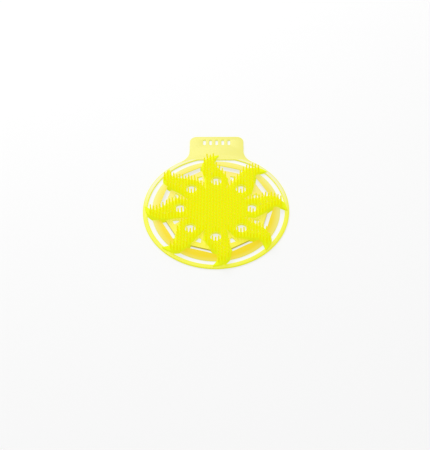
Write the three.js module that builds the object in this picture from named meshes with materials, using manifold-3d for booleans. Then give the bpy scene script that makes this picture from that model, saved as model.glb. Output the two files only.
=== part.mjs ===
// Urinal deodorizer screen: one moulded sheet of soft yellow plastic.
// A round rim with a pull tab surrounds a sloping skirt and a flat plate. Eight curved arms spread
// from the plate over the skirt to the rim, and arms and plate carry a field of soft bristles.
// Millimetres, +Z up. The origin is the centre of the rim on its underside. The tab points along +Y.
import * as THREE from 'three';
import { mergeGeometries, mergeVertices } from 'three/addons/utils/BufferGeometryUtils.js';
import Module from 'manifold-3d';

// Plate, slots, skirt, gap and rim, from the middle outwards
const plateApothem = 59.8;
const slotWidth = 5.2;
const skirtWidth = 10.4;
const gapWidth = 5.4;
const rimWidth = 5.2;

// Heights above the underside, and walls
const plateThickness = 2.3;
const padHeight = 3.4;
const skirtEdgeHeight = 1.0;
const skirtCrestHeight = 4.3;
const skirtWall = 1.35;
const armCover = 0.9;
const tipCover = 1.0;
const rimHeight = 1.8;
const rimRounding = 0.6;
const tabThickness = 1.8;

// Pull tab, with a row of plain upright slots
const tabWidth = 66.6;
const tabLength = 30;
const tabCornerRadius = 8.5;
const tabFlareRadius = 20;
const sillInset = 3.2;
const tabSlotCount = 5;
const tabSlotPitch = 7.6;
const tabSlotWidth = 3.4;
const tabSlotHeight = 9;
const tabSlotFromTop = 5;

// Petals and arms
const armCount = 8;
const petalRadius = 46;
const petalGap = 3.9;
const notchDepth = 12;
const armTipInset = 2.2;
const tipTaper = 13;
const sideLean = THREE.MathUtils.degToRad(27.3);
const slotLag = THREE.MathUtils.degToRad(15.5);

// One arm's two edges, as [share of the way from petal to tip, place across the arm's axis].
// The left edge bulges, and the tip hooks over to the right. Their roots come from the petals.
const leftEdge = [[0.27, -18.2], [0.46, -19.8], [0.73, -16.8], [0.95, -8.2], [1, 2.2]];
const rightEdge = [[0.99, 2.9], [0.74, -1.4], [0.55, 1.4], [0.35, 7.2]];

// Holes in each petal, vents between petals and drains in each arm
const holeRadius = 6.25;
const holeSetback = 4.1;
const ventSetout = 0.4;
const ventLength = 7.2;
const ventInnerWidth = 3;
const ventOuterWidth = 7.6;
const ventEase = 1.2;
const drainRadius = 1.5;
const drainPlaces = [[-5.5, 6.5], [-8.5, 13]];

// Bristles, in a staggered grid
const bristlePitch = 4.2;
const bristleLength = 10.1;
const bristleFootRadius = 1.3;
const bristleTipRadius = 0.72;
const bristleRootDepth = 2;
const bristleMargin = 1.0;
const bristleHoleClearance = 0.9;
const bristleRimClearance = 2.8;

// Steps round curves, how far hidden ends run on and how close corners merge
const roundSteps = 48;
const tabSteps = 3;
const slotSteps = 2;
const holeSteps = 12;
const drainSteps = 6;
const bristleSides = 3;
const leftSteps = 6;
const rightSteps = 5;
const overrun = 1;
const weld = 1e-4;

// Worked out from the sizes above
const slotOuterApothem = plateApothem + slotWidth;
const skirtRadius = slotOuterApothem + skirtWidth;
const rimInnerRadius = skirtRadius + gapWidth;
const rimRadius = rimInnerRadius + rimWidth;
const armTipRadius = rimRadius - armTipInset;
const armStep = 2 * Math.PI / armCount;
const archHeight = skirtCrestHeight + armCover;
const bristleTipHeight = padHeight + bristleLength;
const holeCircleRadius = petalRadius - holeSetback;

const wasm = await Module();
wasm.setup();

// A solid from a closed geometry, with its shared corners merged
function solid(geometry) {
  const bare = geometry.index ? geometry.toNonIndexed() : geometry.clone();
  bare.deleteAttribute('normal');
  bare.deleteAttribute('uv');
  const merged = mergeVertices(bare, weld);
  return new wasm.Manifold(new wasm.Mesh({
    numProp: 3,
    vertProperties: merged.attributes.position.array,
    triVerts: new Uint32Array(merged.index.array),
  }));
}

// One solid from several closed geometries that don't touch
function solidOfAll(geometries) {
  const loose = geometries.map((geometry) => {
    const bare = geometry.index ? geometry.toNonIndexed() : geometry;
    bare.deleteAttribute('normal');
    bare.deleteAttribute('uv');
    return bare;
  });
  return solid(mergeGeometries(loose));
}

function geometryOf(body) {
  const mesh = body.getMesh();
  const geometry = new THREE.BufferGeometry();
  geometry.setAttribute('position', new THREE.BufferAttribute(mesh.vertProperties, 3));
  geometry.setIndex(new THREE.BufferAttribute(mesh.triVerts, 1));
  geometry.computeVertexNormals();
  return geometry;
}

// Turns a lathe's upright Y into Z, in whole numbers so that level faces stay exactly level
const standUp = new THREE.Matrix4().set(
  1, 0, 0, 0,
  0, 0, -1, 0,
  0, 1, 0, 0,
  0, 0, 0, 1,
);

// A solid of revolution about the vertical axis. The profile is a list of [radius, height].
function turned(profile, steps, start = 0) {
  const points = profile.map(([radius, height]) => new THREE.Vector2(radius, height));
  return solid(new THREE.LatheGeometry(points, steps, start).applyMatrix4(standUp));
}

// An upright wall round a shape, between two heights
function prism(shape, low, high, curveSegments) {
  const options = { depth: high - low, bevelEnabled: false, curveSegments };
  return new THREE.ExtrudeGeometry(shape, options).translate(0, 0, low);
}

// A closed wall between two outlines of equal length, one above the other
function loft(low, lowOutline, high, highOutline) {
  const count = lowOutline.length;
  const positions = [
    ...lowOutline.flatMap((point) => [point.x, point.y, low]),
    ...highOutline.flatMap((point) => [point.x, point.y, high]),
  ];
  const triangles = [];
  for (let a = 0; a < count; a += 1) {
    const b = (a + 1) % count;
    triangles.push(a, b, b + count, a, b + count, a + count);
  }
  for (const [a, b, c] of THREE.ShapeUtils.triangulateShape(lowOutline, [])) {
    triangles.push(a, c, b);
  }
  for (const [a, b, c] of THREE.ShapeUtils.triangulateShape(highOutline, [])) {
    triangles.push(a + count, b + count, c + count);
  }
  const geometry = new THREE.BufferGeometry();
  geometry.setAttribute('position', new THREE.Float32BufferAttribute(positions, 3));
  geometry.setIndex(triangles);
  return geometry;
}

function polar(radius, angle) {
  return new THREE.Vector2(radius * Math.cos(angle), radius * Math.sin(angle));
}

// Corners of a regular outline round a centre
function corners(centre, radius, sides, start = 0) {
  const points = [];
  for (let i = 0; i < sides; i += 1) {
    points.push(polar(radius, start + 2 * Math.PI * i / sides).add(centre));
  }
  return points;
}

// An upright post, which tapers if its two radii differ
function post(centre, footRadius, topRadius, low, high, sides) {
  return loft(low, corners(centre, footRadius, sides), high, corners(centre, topRadius, sides));
}

// Where a place across and along an arm's axis lies on the numbered arm. Arm 0 points along +Y.
function onArm(across, along, arm) {
  return new THREE.Vector2(across, along).rotateAround(new THREE.Vector2(), arm * armStep);
}

// The reverse: a place measured across and along the axis of the arm nearest to it
function nearestArm(place) {
  const angle = place.angle() - Math.PI / 2;
  const away = angle - Math.round(angle / armStep) * armStep;
  return new THREE.Vector2(-place.length() * Math.sin(away), place.length() * Math.cos(away));
}

// Rim with eased upper edges
function makeRim() {
  const [inner, outer] = [rimInnerRadius, rimRadius];
  return turned([
    [inner, 0],
    [outer, 0],
    [outer, rimHeight - rimRounding],
    [outer - rimRounding, rimHeight],
    [inner + rimRounding, rimHeight],
    [inner, rimHeight - rimRounding],
    [inner, 0],
  ], roundSteps);
}

// Pull tab, flared into the rim, with a straight sill inside the rim
function makeTab() {
  const half = tabWidth / 2;
  const top = rimRadius + tabLength;
  const flareX = half + tabFlareRadius;
  const flareY = Math.sqrt((rimRadius + tabFlareRadius) ** 2 - flareX ** 2);
  const flareAngle = Math.atan2(flareY, flareX);
  const rimMiddle = (rimInnerRadius + rimRadius) / 2;
  const sillAngle = Math.asin((rimInnerRadius - sillInset) / rimMiddle);
  const cornerX = half - tabCornerRadius;
  const cornerY = top - tabCornerRadius;
  const shape = new THREE.Shape();
  shape.absarc(0, 0, rimMiddle, sillAngle, flareAngle, sillAngle > flareAngle);
  shape.absarc(flareX, flareY, tabFlareRadius, flareAngle - Math.PI, -Math.PI, true);
  shape.absarc(cornerX, cornerY, tabCornerRadius, 0, Math.PI / 2);
  shape.absarc(-cornerX, cornerY, tabCornerRadius, Math.PI / 2, Math.PI);
  shape.absarc(-flareX, flareY, tabFlareRadius, 0, -flareAngle, true);
  shape.absarc(0, 0, rimMiddle, Math.PI - flareAngle, Math.PI - sillAngle, sillAngle > flareAngle);
  return solid(prism(shape, 0, tabThickness, tabSteps)).subtract(solidOfAll(tabSlots(top)));
}

// Upright round-ended slots in a row across the tab
function tabSlots(top) {
  const cutters = [];
  const high = top - tabSlotFromTop - tabSlotWidth / 2;
  const low = high - (tabSlotHeight - tabSlotWidth);
  for (let i = 0; i < tabSlotCount; i += 1) {
    const x = (i - (tabSlotCount - 1) / 2) * tabSlotPitch;
    const slot = new THREE.Shape();
    slot.absarc(x, high, tabSlotWidth / 2, 0, Math.PI);
    slot.absarc(x, low, tabSlotWidth / 2, Math.PI, 2 * Math.PI);
    cutters.push(prism(slot, -overrun, tabThickness + overrun, slotSteps));
  }
  return cutters;
}

// The shape inside the slots, whose straight sides lag behind the arms' axes
function slotShape(apothem) {
  const start = Math.PI / 2 - slotLag + armStep / 2;
  return new THREE.Shape(corners(new THREE.Vector2(), apothem / Math.cos(armStep / 2), armCount, start));
}

function makePlate() {
  return solid(prism(slotShape(plateApothem), 0, plateThickness));
}

// Sloping skirt: a thin cone that stands on its outer edge, cut off straight along the slots
function makeSkirt() {
  const fall = (skirtCrestHeight - skirtEdgeHeight) / skirtWidth;
  const footRadius = skirtRadius - (skirtWall - skirtEdgeHeight) / fall;
  const innerTop = skirtCrestHeight + slotWidth * fall;
  const cone = turned([
    [plateApothem, innerTop - skirtWall],
    [footRadius, 0],
    [skirtRadius, 0],
    [skirtRadius, skirtEdgeHeight],
    [plateApothem, innerTop],
    [plateApothem, innerTop - skirtWall],
  ], roundSteps);
  return cone.subtract(solid(prism(slotShape(slotOuterApothem), -overrun, innerTop + overrun)));
}

function edgeCurve(edge) {
  const run = armTipRadius - petalRadius;
  const rootAcross = petalRadius * Math.sin(armStep / 2) - petalGap / 2;
  const places = edge.map(([share, across]) => new THREE.Vector2(across, petalRadius + share * run));
  if (edge === leftEdge) places.unshift(new THREE.Vector2(-rootAcross, petalRadius));
  else places.push(new THREE.Vector2(rootAcross, petalRadius));
  return new THREE.SplineCurve(places);
}

// Points along an arm's edge at the foot of its leaning side, and the same points at the side's top
const starTop = archHeight + overrun;
const starInset = starTop * Math.tan(sideLean);

const armTip = edgeCurve(rightEdge).getPoint(0);

// Share of the full lean that the side has at a place. It stands upright at an arm's tip.
function leanShare(place) {
  return Math.min(1, place.distanceTo(armTip) / tipTaper);
}

function edgePoints(edge, steps) {
  const curve = edgeCurve(edge);
  const points = [];
  for (let i = steps; i >= 0; i -= 1) {
    const foot = curve.getPointAt(i / steps);
    const tangent = curve.getTangentAt(i / steps);
    const inset = starInset * leanShare(foot);
    points.push({ foot, top: new THREE.Vector2(tangent.y, -tangent.x).multiplyScalar(inset).add(foot) });
  }
  return points;
}

// The star of petals and arms, walked counter-clockwise: up each arm's right edge, down its left
// edge and into the notch beside it
function starOutlines() {
  const notchAngle = Math.PI / 2 + armStep / 2;
  const notchRadius = petalRadius - notchDepth;
  const notch = { foot: polar(notchRadius, notchAngle), top: polar(notchRadius - starInset, notchAngle) };
  const walk = [...edgePoints(rightEdge, rightSteps), ...edgePoints(leftEdge, leftSteps), notch];
  const outlines = { foot: [], top: [] };
  for (let arm = 0; arm < armCount; arm += 1) {
    for (const { foot, top } of walk) {
      outlines.foot.push(onArm(foot.x, foot.y, arm));
      outlines.top.push(onArm(top.x, top.y, arm));
    }
  }
  return outlines;
}

const star = starOutlines();

// Roof over the star, as [distance along an arm's axis, height]: flat petals, a crest over the
// skirt and a fall to the rim. Each arm is level from side to side.
const roof = [
  [petalRadius, padHeight],
  [slotOuterApothem, archHeight],
  [rimRadius, rimHeight + tipCover],
];

function roofHeight(along) {
  if (along <= petalRadius) return padHeight;
  const outer = along > slotOuterApothem ? 2 : 1;
  const [innerAlong, innerHeight] = roof[outer - 1];
  const [outerAlong, outerHeight] = roof[outer];
  return THREE.MathUtils.mapLinear(along, innerAlong, outerAlong, innerHeight, outerHeight);
}

function makeStar() {
  const corner = (along) => along / Math.cos(armStep / 2);
  const profile = [[0, 0], [corner(rimRadius), 0]];
  for (const [along, height] of [...roof].reverse()) profile.push([corner(along), height]);
  profile.push([0, padHeight]);
  const roofed = turned(profile, armCount, armStep / 2);
  return solid(loft(0, star.foot, starTop, star.top)).intersect(roofed);
}

// Round holes, one in each petal
function petalHoles() {
  const cutters = [];
  for (let arm = 0; arm < armCount; arm += 1) {
    const centre = onArm(0, holeCircleRadius, arm);
    cutters.push(post(centre, holeRadius, holeRadius, -overrun, padHeight + overrun, holeSteps));
  }
  return cutters;
}

// Vents through the plate between two petals: straight and wide outside, narrow inside
function petalVents() {
  const inner = petalRadius + ventSetout;
  const outer = inner + ventLength;
  const half = ventOuterWidth / 2;
  const outline = [
    [inner, -ventInnerWidth / 2],
    [outer - ventEase, -half],
    [outer, -half + ventEase],
    [outer, half - ventEase],
    [outer - ventEase, half],
    [inner, ventInnerWidth / 2],
  ];
  const vent = new THREE.Shape(outline.map(([x, y]) => new THREE.Vector2(x, y)));
  const cutters = [];
  for (let arm = 0; arm < armCount; arm += 1) {
    cutters.push(prism(vent, -overrun, starTop).rotateZ(Math.PI / 2 + (arm + 0.5) * armStep));
  }
  return cutters;
}

// Small drains through each arm, placed across it and out from its petal
function armDrains() {
  const cutters = [];
  for (let arm = 0; arm < armCount; arm += 1) {
    for (const [across, out] of drainPlaces) {
      const centre = onArm(across, petalRadius + out, arm);
      cutters.push(post(centre, drainRadius, drainRadius, -overrun, starTop, drainSteps));
    }
  }
  return cutters;
}

function distanceToOutline(place, outline) {
  const side = new THREE.Line3();
  const from = new THREE.Vector3(place.x, place.y, 0);
  const nearest = new THREE.Vector3();
  let least = Infinity;
  for (let i = 0; i < outline.length; i += 1) {
    const next = outline[(i + 1) % outline.length];
    side.start.set(outline[i].x, outline[i].y, 0);
    side.end.set(next.x, next.y, 0);
    least = Math.min(least, side.closestPointToPoint(from, true, nearest).distanceTo(from));
  }
  return least;
}

// Counts the sides that a line from the place along +X crosses
function isInside(place, outline) {
  let inside = false;
  for (let i = 0; i < outline.length; i += 1) {
    const [a, b] = [outline[i], outline[(i + 1) % outline.length]];
    const spans = (a.y > place.y) !== (b.y > place.y);
    if (spans && place.x < THREE.MathUtils.mapLinear(place.y, a.y, b.y, a.x, b.x)) inside = !inside;
  }
  return inside;
}

// A bristle stands where its foot has room on the roof and is clear of the holes
function hasBristle(place) {
  if (place.length() > rimInnerRadius - bristleRimClearance) return false;
  if (!isInside(place, star.foot)) return false;
  const local = nearestArm(place);
  const sideInset = roofHeight(local.y) * Math.tan(sideLean) * leanShare(local);
  if (distanceToOutline(place, star.foot) < sideInset + bristleMargin) return false;
  const holes = [[0, holeCircleRadius, holeRadius]];
  for (const [across, out] of drainPlaces) holes.push([across, petalRadius + out, drainRadius]);
  return holes.every(([across, along, radius]) => (
    local.distanceTo(new THREE.Vector2(across, along)) >= radius + bristleHoleClearance
  ));
}

// Bristles in columns along Y, with every other column shifted by half a pitch
function makeBristles() {
  const columnPitch = bristlePitch * Math.cos(Math.PI / 6);
  const columns = Math.ceil(rimRadius / columnPitch);
  const rows = Math.ceil(rimRadius / bristlePitch);
  const bristles = [];
  for (let column = -columns; column <= columns; column += 1) {
    const shift = column % 2 === 0 ? 0 : bristlePitch / 2;
    for (let row = -rows; row <= rows; row += 1) {
      const place = new THREE.Vector2(column * columnPitch, row * bristlePitch + shift);
      if (!hasBristle(place)) continue;
      const low = roofHeight(nearestArm(place).y) - bristleRootDepth;
      bristles.push(post(place, bristleFootRadius, bristleTipRadius, low, bristleTipHeight, bristleSides));
    }
  }
  return solidOfAll(bristles);
}

const openings = solidOfAll([...petalHoles(), ...petalVents(), ...armDrains()]);
const sheet = makeRim().add(makeTab()).add(makeSkirt()).add(makePlate()).add(makeStar());
const moulding = sheet.subtract(openings).add(makeBristles());

const softYellow = new THREE.MeshStandardMaterial({ color: 0xf2ef2a, roughness: 0.42, metalness: 0 });
const screen = new THREE.Mesh(geometryOf(moulding), softYellow);
screen.name = 'screen';

const group = new THREE.Group();
group.add(screen);
export default group;
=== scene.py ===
# %% [markdown]
# This lesson dresses a drain screen: a round sheet of soft, see-through yellow plastic that is
# moulded in one piece. A rim with a pull tab surrounds a sloping skirt and a flat plate, eight
# curved arms spread from the plate to the rim, and hundreds of soft bristles stand on them.
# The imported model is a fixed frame. It is loaded first, and its box is kept for later.

# %% Load the frame
import math
import random

import bmesh
import bpy
from mathutils import Euler, Matrix, Quaternion, Vector


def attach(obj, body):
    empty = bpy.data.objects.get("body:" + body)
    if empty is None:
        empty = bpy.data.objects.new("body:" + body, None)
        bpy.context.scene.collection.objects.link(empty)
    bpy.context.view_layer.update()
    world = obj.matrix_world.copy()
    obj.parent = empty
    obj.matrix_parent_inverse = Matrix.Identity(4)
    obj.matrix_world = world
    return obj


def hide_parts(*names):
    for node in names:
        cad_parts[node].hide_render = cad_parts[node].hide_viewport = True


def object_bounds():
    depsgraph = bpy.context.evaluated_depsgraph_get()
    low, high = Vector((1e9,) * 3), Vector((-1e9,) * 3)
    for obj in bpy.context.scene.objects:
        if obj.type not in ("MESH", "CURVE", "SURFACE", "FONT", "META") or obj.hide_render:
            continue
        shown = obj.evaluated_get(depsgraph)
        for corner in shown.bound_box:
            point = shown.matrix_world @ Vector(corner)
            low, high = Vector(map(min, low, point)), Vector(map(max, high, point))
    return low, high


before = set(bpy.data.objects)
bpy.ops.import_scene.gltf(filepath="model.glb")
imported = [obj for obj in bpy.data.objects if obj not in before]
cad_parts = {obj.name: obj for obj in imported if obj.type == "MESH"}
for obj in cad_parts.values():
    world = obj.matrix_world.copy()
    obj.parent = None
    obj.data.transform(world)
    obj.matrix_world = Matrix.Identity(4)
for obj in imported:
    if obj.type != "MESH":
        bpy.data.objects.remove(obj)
cad_low, cad_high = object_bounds()
print("frame box in mm:", [round(1000 * size, 2) for size in cad_high - cad_low])

# %% [markdown]
# Every length below is in millimetres times mm, so that a size reads as it would on a drawing.
# The rim, the tab's end and the bristles' tips come from the frame's own box. The rest follows
# inwards from the rim, ring by ring: rim, gap, skirt, slots and plate.

# %% Driving sizes
mm = 0.001
rim_radius = cad_high.x
tab_end = cad_high.y
tip_height = cad_high.z

rim_inner = rim_radius - 5.2 * mm
skirt_radius = rim_inner - 5.4 * mm
crest_apothem = skirt_radius - 10.4 * mm
plate_apothem = crest_apothem - 5.2 * mm

rim_height = 1.8 * mm
plate_height = 2.3 * mm
pad_height = 3.4 * mm
skirt_edge_height = 1.0 * mm
crest_height = 4.3 * mm
arch_height = 5.2 * mm
tip_cover = 1.0 * mm

arm_count = 8
arm_step = 2 * math.pi / arm_count
petal_radius = 46 * mm
arm_tip_radius = rim_radius - 2.2 * mm
slot_lag = math.radians(15.5)
print("skirt from", round(1000 * crest_apothem, 1), "to", round(1000 * skirt_radius, 1), "mm")

# %% [markdown]
# The camera looks steeply down at the screen, as someone standing over it does. Its aim is a
# point just in front of the screen's middle. The tilt, the turn and the slight roll are three
# separate turns, so each can be changed by itself.

# %% Camera
camera_aim = Vector((-0.942, -24.38, 1.866)) * mm
camera_distance = 1.1
camera_elevation = math.radians(51.85)
camera_turn = math.radians(1.448)
camera_roll = math.radians(-1.237)

turn = Euler((math.pi / 2 - camera_elevation, 0, camera_turn)).to_quaternion()
turn = turn @ Quaternion((0, 0, 1), camera_roll)
bpy.ops.object.camera_add(location=camera_aim + turn @ Vector((0, 0, camera_distance)))
camera = bpy.context.object
camera.rotation_euler = turn.to_euler()
camera.data.lens = 75.88
camera.data.sensor_width = 36
bpy.context.scene.camera = camera
bpy.context.scene.view_settings.view_transform = "Standard"
print("camera at", [round(place, 3) for place in camera.location])

# %% [markdown]
# Light is plain and soft. An even white world does most of the work, and one broad lamp behind
# the screen gives the plastic a gentle sheen. Together they light a level surface at about the
# strength at which a colour renders as it is written.

# %% World and lamp
world_strength = 0.75
backdrop_strength = 0.94

world = bpy.data.worlds.new("soft_room")
bpy.context.scene.world = world
world.use_nodes = True
sky = world.node_tree.nodes["Background"]
sky.inputs["Color"].default_value = (1, 1, 1, 1)
sky.inputs["Strength"].default_value = world_strength
backdrop = world.node_tree.nodes.new("ShaderNodeBackground")
backdrop.inputs["Color"].default_value = (1, 1, 1, 1)
backdrop.inputs["Strength"].default_value = backdrop_strength
path = world.node_tree.nodes.new("ShaderNodeLightPath")
choice = world.node_tree.nodes.new("ShaderNodeMixShader")
join_world = world.node_tree.links.new
join_world(path.outputs["Is Camera Ray"], choice.inputs["Fac"])
join_world(sky.outputs["Background"], choice.inputs[1])
join_world(backdrop.outputs["Background"], choice.inputs[2])
join_world(choice.outputs["Shader"], world.node_tree.nodes["World Output"].inputs["Surface"])

bpy.ops.object.light_add(type="AREA", location=(-0.5, 1.1, 1.3))
lamp = bpy.context.object
lamp.data.energy = 20
lamp.data.size = 1.2
lamp.rotation_euler = (-lamp.location).to_track_quat("-Z", "Y").to_euler()
print("lamp of", lamp.data.energy, "W")

# %% [markdown]
# Shader maths reads best as plain expressions. A Signal wraps one output of a node, and adding
# or multiplying signals adds the Math nodes that do it. Any other node comes from the board's
# add method, which sets the node's own settings first and then its sockets.

# %% Shader board


class Signal:
    def __init__(self, board, socket):
        self.board = board
        self.socket = socket

    def maths(self, operation, first, second):
        return self.board.add("ShaderNodeMath", {"operation": operation}, {0: first, 1: second})

    def __add__(self, other):
        return self.maths("ADD", self, other)

    def __radd__(self, other):
        return self.maths("ADD", other, self)

    def __sub__(self, other):
        return self.maths("SUBTRACT", self, other)

    def __rsub__(self, other):
        return self.maths("SUBTRACT", other, self)

    def __mul__(self, other):
        return self.maths("MULTIPLY", self, other)

    def __rmul__(self, other):
        return self.maths("MULTIPLY", other, self)


class Board:
    def __init__(self, name):
        self.material = bpy.data.materials.new(name)
        self.material.use_nodes = True
        self.tree = self.material.node_tree
        self.tree.nodes.clear()

    def add(self, kind, settings, sockets, output=0):
        node = self.tree.nodes.new(kind)
        for name, value in settings.items():
            setattr(node, name, value)
        for name, value in sockets.items():
            if isinstance(value, Signal):
                self.tree.links.new(value.socket, node.inputs[name])
            else:
                node.inputs[name].default_value = value
        return Signal(self, node.outputs[output]) if node.outputs else None

    def ramp(self, signal, start, end):
        """0 at start and below, 1 at end and above, and eased between them."""
        settings = {"interpolation_type": "SMOOTHSTEP"}
        sockets = {"Value": signal, "From Min": start, "From Max": end}
        return self.add("ShaderNodeMapRange", settings, sockets)

    def blend(self, share, first, second):
        """A colour that goes from the first to the second."""
        return self.add("ShaderNodeMix", {"data_type": "RGBA"}, {0: share, 6: first, 7: second}, 2)

    def noise(self, place, scale, detail=2.0):
        return self.add("ShaderNodeTexNoise", {}, {"Vector": place, "Scale": scale, "Detail": detail})


print("shader board ready")

# %% [markdown]
# Soft plastic is paler where it is thin, because the white below shows through, and deeper in
# colour where light has further to go: along edges and up side walls. So each finish mixes a
# pale and a deep yellow, turns to a strong edge colour where the surface leans from level, and
# lets some of what lies below through. Part of each colour is given off as a painted glow, which
# lifts the shade between bristles and in holes. A faint mottle and a fine grain keep it from
# looking like paint. The plate's walls take a darker edge colour than the rest, a painted shade
# for the narrow slots they stand in. Rim, skirt and plate are painted paler on the far side, a
# painted sheen, and the skirt is painted deeper towards its crest, a painted shade from below.

# %% Soft plastic
grain_scale = 900
mottle_scale = 70
mottle_depth = 0.16
gloss_change = 0.1
level_end, wall_start = 0.05, 0.7
# Painted glow: this share of each colour leaves the lit base and is given off as light instead.
painted_glow_share = 0.6
painted_glow_strength = 0.57
edge_yellow = (0.9, 0.93, 0.02)
# A painted shade for the plate's walls, which stand in the narrow slots.
painted_slot_shade = (0.45, 0.38, 0.03)
black = (0, 0, 0, 1)


def soft_plastic(
    name, pale, deep, body, solid, gloss=0.35, sheen=0.3, deeper=None, edges=0.8, edge=edge_yellow
):
    """A finish between a pale and a deep colour. body is the share of the deep one on level
    faces, solid is how little shows through them, and deeper may add to the share by place.
    Walls turn towards the edge colour by the share edges."""
    board = Board(name)
    place = board.add("ShaderNodeTexCoord", {}, {}, "Object")
    facing = board.add("ShaderNodeTexCoord", {}, {}, "Normal")
    level = board.add("ShaderNodeSeparateXYZ", {}, {"Vector": facing}, "Z")
    upright = 1 - board.add("ShaderNodeMath", {"operation": "ABSOLUTE"}, {0: level})
    wall = board.ramp(upright, level_end, wall_start)
    share = body + (board.noise(place, mottle_scale) - 0.5) * mottle_depth
    if deeper:
        share = share + deeper(board, place)
    share = board.add("ShaderNodeClamp", {}, {"Value": share})
    colour = board.blend(wall * edges, board.blend(share, (*pale, 1), (*deep, 1)), (*edge, 1))
    grain = board.noise(place, grain_scale, 4)
    bump = board.add("ShaderNodeBump", {}, {"Strength": 0.12, "Distance": 0.1 * mm, "Height": grain})
    surface = board.add(
        "ShaderNodeBsdfPrincipled",
        {},
        {
            # The base keeps what the painted glow leaves, and the painted glow gives off the rest.
            "Base Color": board.blend(painted_glow_share, colour, black),
            "Emission Color": colour,
            "Emission Strength": painted_glow_strength,
            "Roughness": gloss + (grain - 0.5) * gloss_change,
            "Specular IOR Level": sheen,
            "Alpha": solid + (1 - solid) * wall,
            "Normal": bump,
        },
    )
    board.add("ShaderNodeOutputMaterial", {}, {"Surface": surface})
    return board.material


def distance_out(board, place):
    flat = board.add("ShaderNodeVectorMath", {"operation": "MULTIPLY"}, {0: place, 1: (1, 1, 0)})
    return board.add("ShaderNodeVectorMath", {"operation": "LENGTH"}, {0: flat}, "Value")


def nearer(board, place, far, near):
    """0 beyond the far line and 1 on this side of the near one."""
    across = board.add("ShaderNodeSeparateXYZ", {}, {"Vector": place}, "Y")
    return board.ramp(across, far, near)


def rim_painted_sheen(board, place):
    """The far half is pale between two deep lines, one along each edge, and that pale band is a painted
    reflection. The near half is deep.
    """
    out = distance_out(board, place)
    outer_line = board.ramp(out, rim_radius - 1.3 * mm, rim_radius - 0.7 * mm)
    inner_line = board.ramp(out, rim_inner + 1.4 * mm, rim_inner + 0.8 * mm)
    near_half = nearer(board, place, 40 * mm, -5 * mm)
    return near_half * 0.9 + outer_line * 0.7 + inner_line * 0.7


def skirt_painted_shade(board, place):
    # Painted shade: deeper towards the crest, where the floor under the skirt lies in shade, and deeper
    inwards = board.ramp(distance_out(board, place), skirt_radius, crest_apothem + 1 * mm)
    # on the near side, while the far side is painted paler as a sheen.
    crest = inwards * (0.4 + nearer(board, place, 70 * mm, 0) * 0.35)
    return crest + nearer(board, place, 10 * mm, -70 * mm) * 0.6


def plate_painted_sheen(board, place):
    # The far side is painted paler, a painted sheen, and the near side deeper.
    return nearer(board, place, 50 * mm, -50 * mm) * 0.85


def at_tip(board, place):
    height = board.add("ShaderNodeSeparateXYZ", {}, {"Vector": place}, "Z")
    return board.ramp(height, tip_height - 1.2 * mm, tip_height - 0.2 * mm) * 0.8


tab_finish = soft_plastic("tab_plastic", (0.88, 0.84, 0.2), (0.88, 0.86, 0.03), 0.05, solid=0.8)
rim_finish = soft_plastic(
    "rim_plastic", (0.87, 0.84, 0.5), (0.87, 0.87, 0.015), 0.05, solid=0.88, deeper=rim_painted_sheen
)
skirt_finish = soft_plastic(
    "skirt_plastic", (0.9, 0.86, 0.24), (0.94, 0.74, 0.008), 0.05, solid=0.88, deeper=skirt_painted_shade
)
plate_finish = soft_plastic(
    "plate_plastic", (0.93, 0.81, 0.18), (0.92, 0.87, 0.006), 0.05, 0.88, deeper=plate_painted_sheen, edge=painted_slot_shade
)
arm_finish = soft_plastic(
    "arm_plastic", (0.92, 0.94, 0.02), (0.82, 0.96, 0.002), 0.6, solid=1, sheen=0.03, edges=0.3
)
bristle_finish = soft_plastic(
    "bristle_plastic", (0.97, 0.93, 0.002), (0.98, 0.86, 0.05), 0.02, 1, 0.4, 0.03, at_tip, edges=0
)
print("finishes:", len(bpy.data.materials))

# %% [markdown]
# A few hand moves come back again and again, so each has a helper: picking one piece, applying
# a modifier, easing the corners of an outline, and closing a shape that was spun or lofted.

# %% Modelling helpers
merge_gap = 0.001 * mm
longest_ease = 0.49


def pick(piece):
    bpy.ops.object.select_all(action="DESELECT")
    piece.select_set(True)
    bpy.context.view_layer.objects.active = piece


def apply(piece, kind, **settings):
    """Adds a modifier and applies it at once."""
    pick(piece)
    modifier = piece.modifiers.new(kind, kind)
    for name, value in settings.items():
        setattr(modifier, name, value)
    bpy.ops.object.modifier_apply(modifier=modifier.name)


def close(piece):
    """Merges doubled corners and points every face outwards."""
    pick(piece)
    bpy.ops.object.mode_set(mode="EDIT")
    bpy.ops.mesh.select_all(action="SELECT")
    bpy.ops.mesh.remove_doubles(threshold=merge_gap)
    bpy.ops.mesh.normals_make_consistent(inside=False)
    bpy.ops.object.mode_set(mode="OBJECT")


def eased(points, ease, closed=True, steps=4):
    """An outline whose corners are rounded off over the length ease on either side, though never
    past the share longest_ease of a side. A line that isn't closed keeps its two ends."""
    rounded = []
    points = [Vector(point) for point in points]
    for i, corner in enumerate(points):
        if not closed and i in (0, len(points) - 1):
            rounded.append(corner)
            continue
        before = points[i - 1] - corner
        after = points[(i + 1) % len(points)] - corner
        start = corner + before.normalized() * min(ease, before.length * longest_ease)
        end = corner + after.normalized() * min(ease, after.length * longest_ease)
        for step in range(steps + 1):
            t = step / steps
            rounded.append(start * (1 - t) ** 2 + corner * 2 * t * (1 - t) + end * t ** 2)
    return rounded


def spun(name, section, steps):
    """A ring spun from a closed section of (radius, height) points."""
    bpy.ops.object.select_all(action="DESELECT")
    bpy.ops.mesh.primitive_circle_add(vertices=len(section), fill_type="NOTHING")
    piece = bpy.context.object
    piece.name = name
    for corner, (radius, height) in zip(piece.data.vertices, section):
        corner.co = (radius, 0, height)
    bpy.ops.object.mode_set(mode="EDIT")
    bpy.ops.mesh.select_all(action="SELECT")
    bpy.ops.mesh.spin(steps=steps, angle=2 * math.pi, center=(0, 0, 0), axis=(0, 0, 1))
    bpy.ops.object.mode_set(mode="OBJECT")
    close(piece)
    return piece


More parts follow.
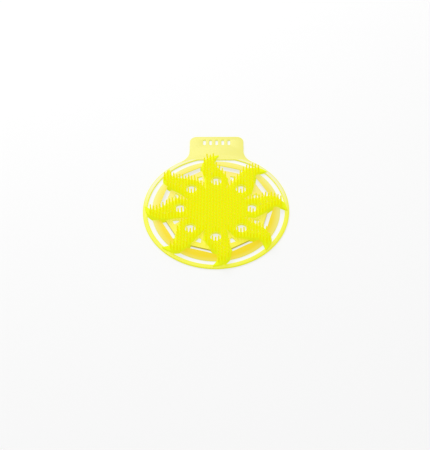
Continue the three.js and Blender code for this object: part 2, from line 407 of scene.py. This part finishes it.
def lofted(name, sides, stations, turn=0.0, place=(0, 0)):
    """A round or many-sided post, extruded and resized through (height, radius) stations."""
    bpy.ops.object.select_all(action="DESELECT")
    height, radius = stations[0]
    bpy.ops.mesh.primitive_circle_add(
        vertices=sides, radius=radius, fill_type="NGON", location=(*place, height), rotation=(0, 0, turn)
    )
    piece = bpy.context.object
    piece.name = name
    bpy.ops.object.transform_apply(rotation=True)
    bpy.ops.object.mode_set(mode="EDIT")
    for next_height, next_radius in stations[1:]:
        rise = (0, 0, next_height - height)
        bpy.ops.mesh.extrude_region_move(TRANSFORM_OT_translate={"value": rise})
        scale = next_radius / radius
        bpy.ops.transform.resize(value=(scale, scale, 1))
        height, radius = next_height, next_radius
    bpy.ops.object.mode_set(mode="OBJECT")
    bpy.ops.object.transform_apply(location=True)
    close(piece)
    return piece


def combine(piece, other, operation):
    """Joins or cuts with the other piece, which is then gone. Each keeps its own finish."""
    settings = {"operation": operation, "object": other, "solver": "EXACT", "material_mode": "TRANSFER"}
    apply(piece, "BOOLEAN", **settings)
    bpy.data.objects.remove(other)


def join(pieces, name):
    """One object from several."""
    pick(pieces[0])
    for piece in pieces[1:]:
        piece.select_set(True)
    bpy.ops.object.join()
    pieces[0].name = name
    return pieces[0]


print("modelling helpers ready")

# %% [markdown]
# The rim is a flat ring with eased edges. It could be a flattened torus, but a section spun
# round the middle gives it a true flat foot and the exact width.

# %% Rim
rim_ease = 0.6 * mm
round_steps = 192

rim_section = [(rim_inner, 0), (rim_inner, rim_height), (rim_radius, rim_height), (rim_radius, 0)]
rim = spun("rim", eased(rim_section, rim_ease, closed=False), round_steps)
rim.data.materials.append(rim_finish)
print("rim faces:", len(rim.data.polygons))

# %% [markdown]
# The pull tab flares into the rim. Its outline is a handful of arcs, drawn as a flat curve with
# the slots as inner loops. A filled curve can be given a thickness and an eased edge by its own
# settings, before it becomes a mesh.

# %% Tab
tab_half = 33.3 * mm
tab_corner = 8.5 * mm
flare_radius = 20 * mm
sill_inset = 3.2 * mm
tab_ease = 0.35 * mm
slot_count = 5
slot_pitch = 7.6 * mm
slot_half = 1.7 * mm
slot_top = tab_end - 5 * mm
slot_bottom = slot_top - 9 * mm


def arc(centre, radius, start, end, steps):
    angles = [start + (end - start) * step / steps for step in range(steps + 1)]
    return [Vector((centre[0] + radius * math.cos(a), centre[1] + radius * math.sin(a))) for a in angles]


def sheet_of(name, outlines, thickness, ease):
    """A flat sheet on the floor, filled between its outlines and eased along every edge."""
    curve = bpy.data.curves.new(name, "CURVE")
    curve.dimensions = "2D"
    curve.fill_mode = "BOTH"
    curve.extrude = thickness / 2 - ease
    curve.bevel_depth = ease
    curve.bevel_resolution = 2
    curve.offset = -ease
    for outline in outlines:
        spline = curve.splines.new("POLY")
        spline.points.add(len(outline) - 1)
        spline.use_cyclic_u = True
        for point, place in zip(spline.points, outline):
            point.co = (place[0], place[1], 0, 1)
    piece = bpy.data.objects.new(name, curve)
    bpy.context.collection.objects.link(piece)
    pick(piece)
    piece.location.z = thickness / 2
    bpy.ops.object.convert(target="MESH")
    bpy.ops.object.transform_apply(location=True)
    close(piece)
    return piece


flare_x = tab_half + flare_radius
flare_y = math.sqrt((rim_radius + flare_radius) ** 2 - flare_x ** 2)
flare_angle = math.atan2(flare_y, flare_x)
rim_middle = (rim_inner + rim_radius) / 2
sill_angle = math.asin((rim_inner - sill_inset) / rim_middle)
corner_x = tab_half - tab_corner
corner_y = tab_end - tab_corner

right_side = [
    *arc((0, 0), rim_middle, sill_angle, flare_angle, 12),
    *arc((flare_x, flare_y), flare_radius, flare_angle - math.pi, -math.pi, 16),
    *arc((corner_x, corner_y), tab_corner, 0, math.pi / 2, 12),
]
left_side = [Vector((-point.x, point.y)) for point in reversed(right_side)]
tab_outlines = [right_side + left_side]
for i in range(slot_count):
    x = (i - (slot_count - 1) / 2) * slot_pitch
    round_top = arc((x, slot_top - slot_half), slot_half, 0, math.pi, 10)
    round_bottom = arc((x, slot_bottom + slot_half), slot_half, math.pi, 2 * math.pi, 10)
    tab_outlines.append(round_top + round_bottom)

tab = sheet_of("tab", tab_outlines, rim_height, tab_ease)
tab.data.materials.append(tab_finish)
print("tab faces:", len(tab.data.polygons))

# %% [markdown]
# The skirt is a thin cone that stands on its outer edge. It is spun as a sloping section, and
# an eight-sided post then cuts its crest off straight, beside the slots.

# %% Skirt
skirt_wall = 1.35 * mm
skirt_ease = 0.45 * mm
overrun = 1 * mm

fall = (crest_height - skirt_edge_height) / (skirt_radius - crest_apothem)
inner_top = crest_height + (crest_apothem - plate_apothem) * fall
foot_radius = skirt_radius - (skirt_wall - skirt_edge_height) / fall
skirt_section = [
    (plate_apothem, inner_top - skirt_wall),
    (foot_radius, 0),
    (skirt_radius, 0),
    (skirt_radius, skirt_edge_height),
    (plate_apothem, inner_top),
]
skirt = spun("skirt", eased(skirt_section, skirt_ease), round_steps)
eight_corners = 1 / math.cos(arm_step / 2)
slot_turn = arm_step / 2 - slot_lag
crest_cut = lofted(
    "crest_cut",
    arm_count,
    [(-overrun, crest_apothem * eight_corners), (inner_top + overrun, crest_apothem * eight_corners)],
    slot_turn,
)
combine(skirt, crest_cut, "DIFFERENCE")
skirt.data.materials.clear()
skirt.data.materials.append(skirt_finish)
print("skirt faces:", len(skirt.data.polygons))

# %% [markdown]
# The plate inside the slots is an eight-sided slab with an eased upper edge.

# %% Plate
plate_ease = 0.4 * mm
plate_corner = plate_apothem * eight_corners
plate = lofted(
    "plate",
    arm_count,
    [
        (0, plate_corner),
        (plate_height - plate_ease, plate_corner),
        (plate_height - 0.3 * plate_ease, plate_corner - 0.3 * plate_ease),
        (plate_height, plate_corner - plate_ease),
    ],
    slot_turn,
)
plate.data.materials.append(plate_finish)
print("plate faces:", len(plate.data.polygons))

# %% [markdown]
# Petals and arms make one star with leaning sides. One arm's two edges are smooth curves
# through a few chosen points, and the outline repeats them eight times round. The roof of the
# star is level on the petals, climbs over the skirt and falls to the rim.

# %% Star outline
notch_radius = petal_radius - 12 * mm
side_lean = math.radians(27.3)
tip_taper = 13 * mm
edge_steps = 6
left_edge = [(0.27, -18.2), (0.46, -19.8), (0.73, -16.8), (0.95, -8.2), (1, 2.2)]
right_edge = [(0.99, 2.9), (0.74, -1.4), (0.55, 1.4), (0.35, 7.2)]
root_across = petal_radius * math.sin(arm_step / 2) - 1.95 * mm


def smooth_through(points, steps):
    """Places along a smooth curve through the points. It leaves each along its neighbours' line."""
    places = []
    for i in range(len(points) - 1):
        start, end = points[i], points[i + 1]
        leave = (end - points[max(i - 1, 0)]) / 2
        arrive = (points[min(i + 2, len(points) - 1)] - start) / 2
        for step in range(steps):
            t = step / steps
            places.append(
                start * (2 * t ** 3 - 3 * t ** 2 + 1)
                + leave * (t ** 3 - 2 * t ** 2 + t)
                + end * (3 * t ** 2 - 2 * t ** 3)
                + arrive * (t ** 3 - t ** 2)
            )
    return [*places, points[-1]]


def edge_points(edge):
    run = arm_tip_radius - petal_radius
    return [Vector((across * mm, petal_radius + share * run)) for share, across in edge]


def turned(place, arm):
    """The place on the numbered arm. Arm 0 points along +Y, and the rest follow leftwards."""
    return Matrix.Rotation(arm * arm_step, 2) @ Vector(place)


def on_nearest_arm(place):
    """The place measured across and along the axis of the arm nearest to it."""
    angle = math.atan2(place[1], place[0]) - math.pi / 2
    away = angle - round(angle / arm_step) * arm_step
    length = math.hypot(place[0], place[1])
    return Vector((-length * math.sin(away), length * math.cos(away)))


right_line = smooth_through([*edge_points(right_edge), Vector((root_across, petal_radius))], edge_steps)
left_line = smooth_through([Vector((-root_across, petal_radius)), *edge_points(left_edge)], edge_steps)
notch = Matrix.Rotation(arm_step / 2, 2) @ Vector((0, notch_radius))
one_arm = [*reversed(right_line), *reversed(left_line), notch]
star_outline = [turned(place, arm) for arm in range(arm_count) for place in one_arm]
print("points round the star:", len(star_outline))

# %% [markdown]
# The star starts as one flat face. One extrusion pulls it up, and moving the new ring inwards
# makes the sides lean. An eight-sided roof then cuts it to height: level over the petals, up over
# the skirt and down to the rim. A small bevel eases the shoulders.

# %% Star
shoulder = 0.35 * mm
star_top = arch_height + overrun
roof = [
    (0, pad_height),
    (petal_radius, pad_height),
    (crest_apothem, arch_height),
    (rim_radius, rim_height + tip_cover),
]


def roof_height(place):
    along = on_nearest_arm(place).y
    for (start, low), (end, high) in zip(roof, roof[1:]):
        if along <= end:
            return low + (high - low) * (along - start) / (end - start)
    return roof[-1][1]


def outline_face(name, outline):
    """One flat face on the floor, selected in edit mode and ready to be extruded."""
    mesh = bpy.data.meshes.new(name)
    mesh.from_pydata([(x, y, 0) for x, y in outline], [], [range(len(outline))])
    piece = bpy.data.objects.new(name, mesh)
    bpy.context.collection.objects.link(piece)
    pick(piece)
    bpy.ops.object.mode_set(mode="EDIT")
    bpy.ops.mesh.select_all(action="SELECT")
    return piece


def inward_steps(outline):
    """How each point of the star moves for a step inwards. The step shrinks to nothing at a tip."""
    tip = edge_points(right_edge)[0]
    steps = []
    for i, place in enumerate(outline):
        along = outline[(i + 1) % len(outline)] - outline[i - 1]
        nearest = min((place - turned(tip, arm)).length for arm in range(arm_count))
        steps.append(Vector((-along.y, along.x)).normalized() * min(1, nearest / tip_taper))
    return steps


star = outline_face("star", star_outline)
bpy.ops.mesh.extrude_region_move(TRANSFORM_OT_translate={"value": (0, 0, star_top)})
shape = bmesh.from_edit_mesh(star.data)
top = next(face for face in shape.faces if face.select)
for corner, place, step in zip(top.verts, star_outline, inward_steps(star_outline)):
    corner.co.xy = place + step * star_top * math.tan(side_lean)
bmesh.update_edit_mesh(star.data)
bpy.ops.object.mode_set(mode="OBJECT")
close(star)
roof_stations = [(height, along * eight_corners) for along, height in reversed(roof[1:])]
roof_foot = (-overrun, rim_radius * eight_corners)
roof_cut = lofted("roof_cut", arm_count, [roof_foot, *roof_stations], arm_step / 2)
combine(star, roof_cut, "INTERSECT")
apply(star, "BEVEL", width=shoulder, segments=2, limit_method="ANGLE", angle_limit=math.radians(35))
star.data.materials.clear()
star.data.materials.append(arm_finish)
print("star faces:", len(star.data.polygons))

# %% [markdown]
# Tab, rim, skirt, plate and star are one moulding, so they are joined into one closed sheet. It
# grows from the tab, so that where the flat tops of tab and rim meet, the tab keeps its finish.

# %% One sheet
sheet = tab
sheet.name = "sheet"
for piece in (rim, skirt, plate, star):
    combine(sheet, piece, "UNION")
print("sheet faces:", len(sheet.data.polygons))

# %% [markdown]
# Round holes go through the petals, small drains through the arms, and a vent goes through the
# plate between each two petals. Each could be cut by itself, but one cut with all the cutters
# joined is far quicker. The round ones flare a little at the top, as moulded holes do.

# %% Holes, drains and vents
hole_radius = 6.25 * mm
hole_circle = petal_radius - 4.1 * mm
hole_ease = 0.15 * mm
drain_radius = 1.5 * mm
drain_ease = 0.2 * mm
drain_places = [(-5.5, 6.5), (-8.5, 13)]
vent_inner, vent_outer = petal_radius + 0.4 * mm, petal_radius + 7.6 * mm
vent_inner_half, vent_outer_half = 1.5 * mm, 3.8 * mm
vent_ease = 1.2 * mm


def drill(name, place, radius, ease, sides):
    top = roof_height(place)
    stations = [
        (-overrun, radius),
        (top - ease, radius),
        (top + ease, radius + 2 * ease),
        (top + overrun, radius + 2 * ease),
    ]
    return lofted(name, sides, stations, 0.0, place)


cutters = []
for arm in range(arm_count):
    cutters.append(drill("hole_cut", turned((0, hole_circle), arm), hole_radius, hole_ease, sides=48))
    for across, out in drain_places:
        place = turned((across * mm, petal_radius + out * mm), arm)
        cutters.append(drill("drain_cut", place, drain_radius, drain_ease, sides=16))
    vent_corners = [
        (-vent_inner_half, vent_inner),
        (vent_inner_half, vent_inner),
        (vent_outer_half, vent_outer),
        (-vent_outer_half, vent_outer),
    ]
    vent_outline = [turned(corner, arm + 0.5) for corner in eased(vent_corners, vent_ease)]
    vent = outline_face("vent_cut", vent_outline)
    bpy.ops.transform.translate(value=(0, 0, -overrun))
    bpy.ops.mesh.extrude_region_move(TRANSFORM_OT_translate={"value": (0, 0, 3 * arch_height)})
    bpy.ops.object.mode_set(mode="OBJECT")
    close(vent)
    cutters.append(vent)
combine(sheet, join(cutters, "cutters"), "DIFFERENCE")
print("sheet faces:", len(sheet.data.polygons))

# %% [markdown]
# A bristle is a slim round peg with a flared foot and a blunt tip. It is drawn once, by
# extruding and narrowing a small circle, and each copy leans and stretches a little by chance.
# Bristles stand in a staggered grid wherever the foot finds room on the roof of the star, which
# is felt for from above: a hole, an edge or a leaning side leaves no room. A bristle with no room
# at its own place may step along its column a little, so they stand close round every hole.

# %% Bristles
bristle_pitch = 4.2 * mm
bristle_stations = [
    (-2.0, 1.3),
    (0.0, 1.18),
    (1.0, 1.05),
    (5.5, 0.98),
    (9.0, 0.84),
    (9.8, 0.6),
    (10.1, 0.25),
]
bristle_length = tip_height - pad_height
foot_room = 0.35 * mm
bristle_reach = rim_inner - 2.8 * mm
column_steps = [step * mm for step in (0, -0.5, 0.5, -1.0, 1.0, -1.5, 1.5, -2.0, 2.0)]
bristle_lean = 0.022
shortest, longest = -0.35 * mm, 0.1 * mm
feel_height = 100 * mm
roof_slack = 0.1 * mm
level_enough = 0.9
chance = random.Random(8)

peg = lofted("peg", 8, [(height * mm, radius * mm) for height, radius in bristle_stations])
bpy.ops.object.shade_smooth()
bpy.context.view_layer.update()


def roof_under(place):
    """The height of the level roof under a place, or None where there is none."""
    found, spot, normal, _ = sheet.ray_cast(Vector((*place, feel_height)), Vector((0, 0, -1)))
    if found and normal.z > level_enough and spot.z > roof_height(place) - roof_slack:
        return spot.z
    return None


def has_room(place):
    ring = [Vector(place) + Matrix.Rotation(turn, 2) @ Vector((foot_room, 0)) for turn in range(6)]
    return all(roof_under(spot) is not None for spot in [place, *ring])


def stand_bristle(place):
    copy = peg.copy()
    copy.data = peg.data.copy()
    bpy.context.collection.objects.link(copy)
    foot = roof_under(place)
    reach = (tip_height - foot + chance.uniform(shortest, longest)) / bristle_length
    leans = [chance.gauss(0, bristle_lean), chance.gauss(0, bristle_lean)]
    lean_by = Euler((*leans, chance.uniform(0, math.pi))).to_matrix().to_4x4()
    copy.data.transform(Matrix.Translation((*place, foot)) @ lean_by @ Matrix.Diagonal((1, 1, reach, 1)))
    return copy


column_pitch = bristle_pitch * math.cos(math.pi / 6)
columns = math.ceil(rim_radius / column_pitch)
rows = math.ceil(rim_radius / bristle_pitch)
bristles = []
for column in range(-columns, columns + 1):
    for row in range(-rows, rows + 1):
        place = Vector((column * column_pitch, row * bristle_pitch + column % 2 * bristle_pitch / 2))
        tries = [place + Vector((0, step)) for step in column_steps]
        free = [spot for spot in tries if spot.length < bristle_reach and has_room(spot)]
        if free:
            bristles.append(stand_bristle(free[0]))
bristle_count = len(bristles)
bristles = join(bristles, "bristles")
bpy.data.objects.remove(peg)
bristles.data.materials.append(bristle_finish)
print(bristle_count, "bristles,", len(bristles.data.polygons), "faces")

# %% [markdown]
# The floor is plain and pale. It looks white to the camera and still takes the soft shadow. Its
# back lets sight through, so the underside can be looked at from below.

# %% Floor
floor_shade = 0.3
floor_lift = 0.6

bpy.ops.object.select_all(action="DESELECT")
bpy.ops.mesh.primitive_plane_add(size=8, location=(0, 0, -0.03 * mm))
floor = bpy.context.object
floor.name = "floor"
bpy.ops.object.transform_apply(location=True)
board = Board("pale_floor")
seen = board.add("ShaderNodeLightPath", {}, {}, "Is Camera Ray")
for kind in ("Is Glossy Ray", "Is Transmission Ray"):
    seen = seen + board.add("ShaderNodeLightPath", {}, {}, kind)
surface = board.add(
    "ShaderNodeBsdfPrincipled",
    {},
    {
        "Base Color": (floor_shade, floor_shade, floor_shade, 1),
        "Roughness": 0.9,
        "Emission Color": (1, 1, 1, 1),
        "Emission Strength": seen * floor_lift,
    },
)
back = board.add("ShaderNodeNewGeometry", {}, {}, "Backfacing")
clear = board.add("ShaderNodeBsdfTransparent", {}, {})
both = board.add("ShaderNodeMixShader", {}, {0: back, 1: surface, 2: clear})
board.add("ShaderNodeOutputMaterial", {}, {"Surface": both})
floor.data.materials.append(board.material)
print("floor ready")

# %% [markdown]
# The sheet is shaded smooth up to its sharp edges. Both pieces ride on the one body and stand
# for the frame's single node.

# %% Hand over to the frame
pick(sheet)
bpy.ops.object.shade_smooth_by_angle(angle=math.radians(35))
for piece in (sheet, bristles):
    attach(piece, "root")
    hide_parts("screen")
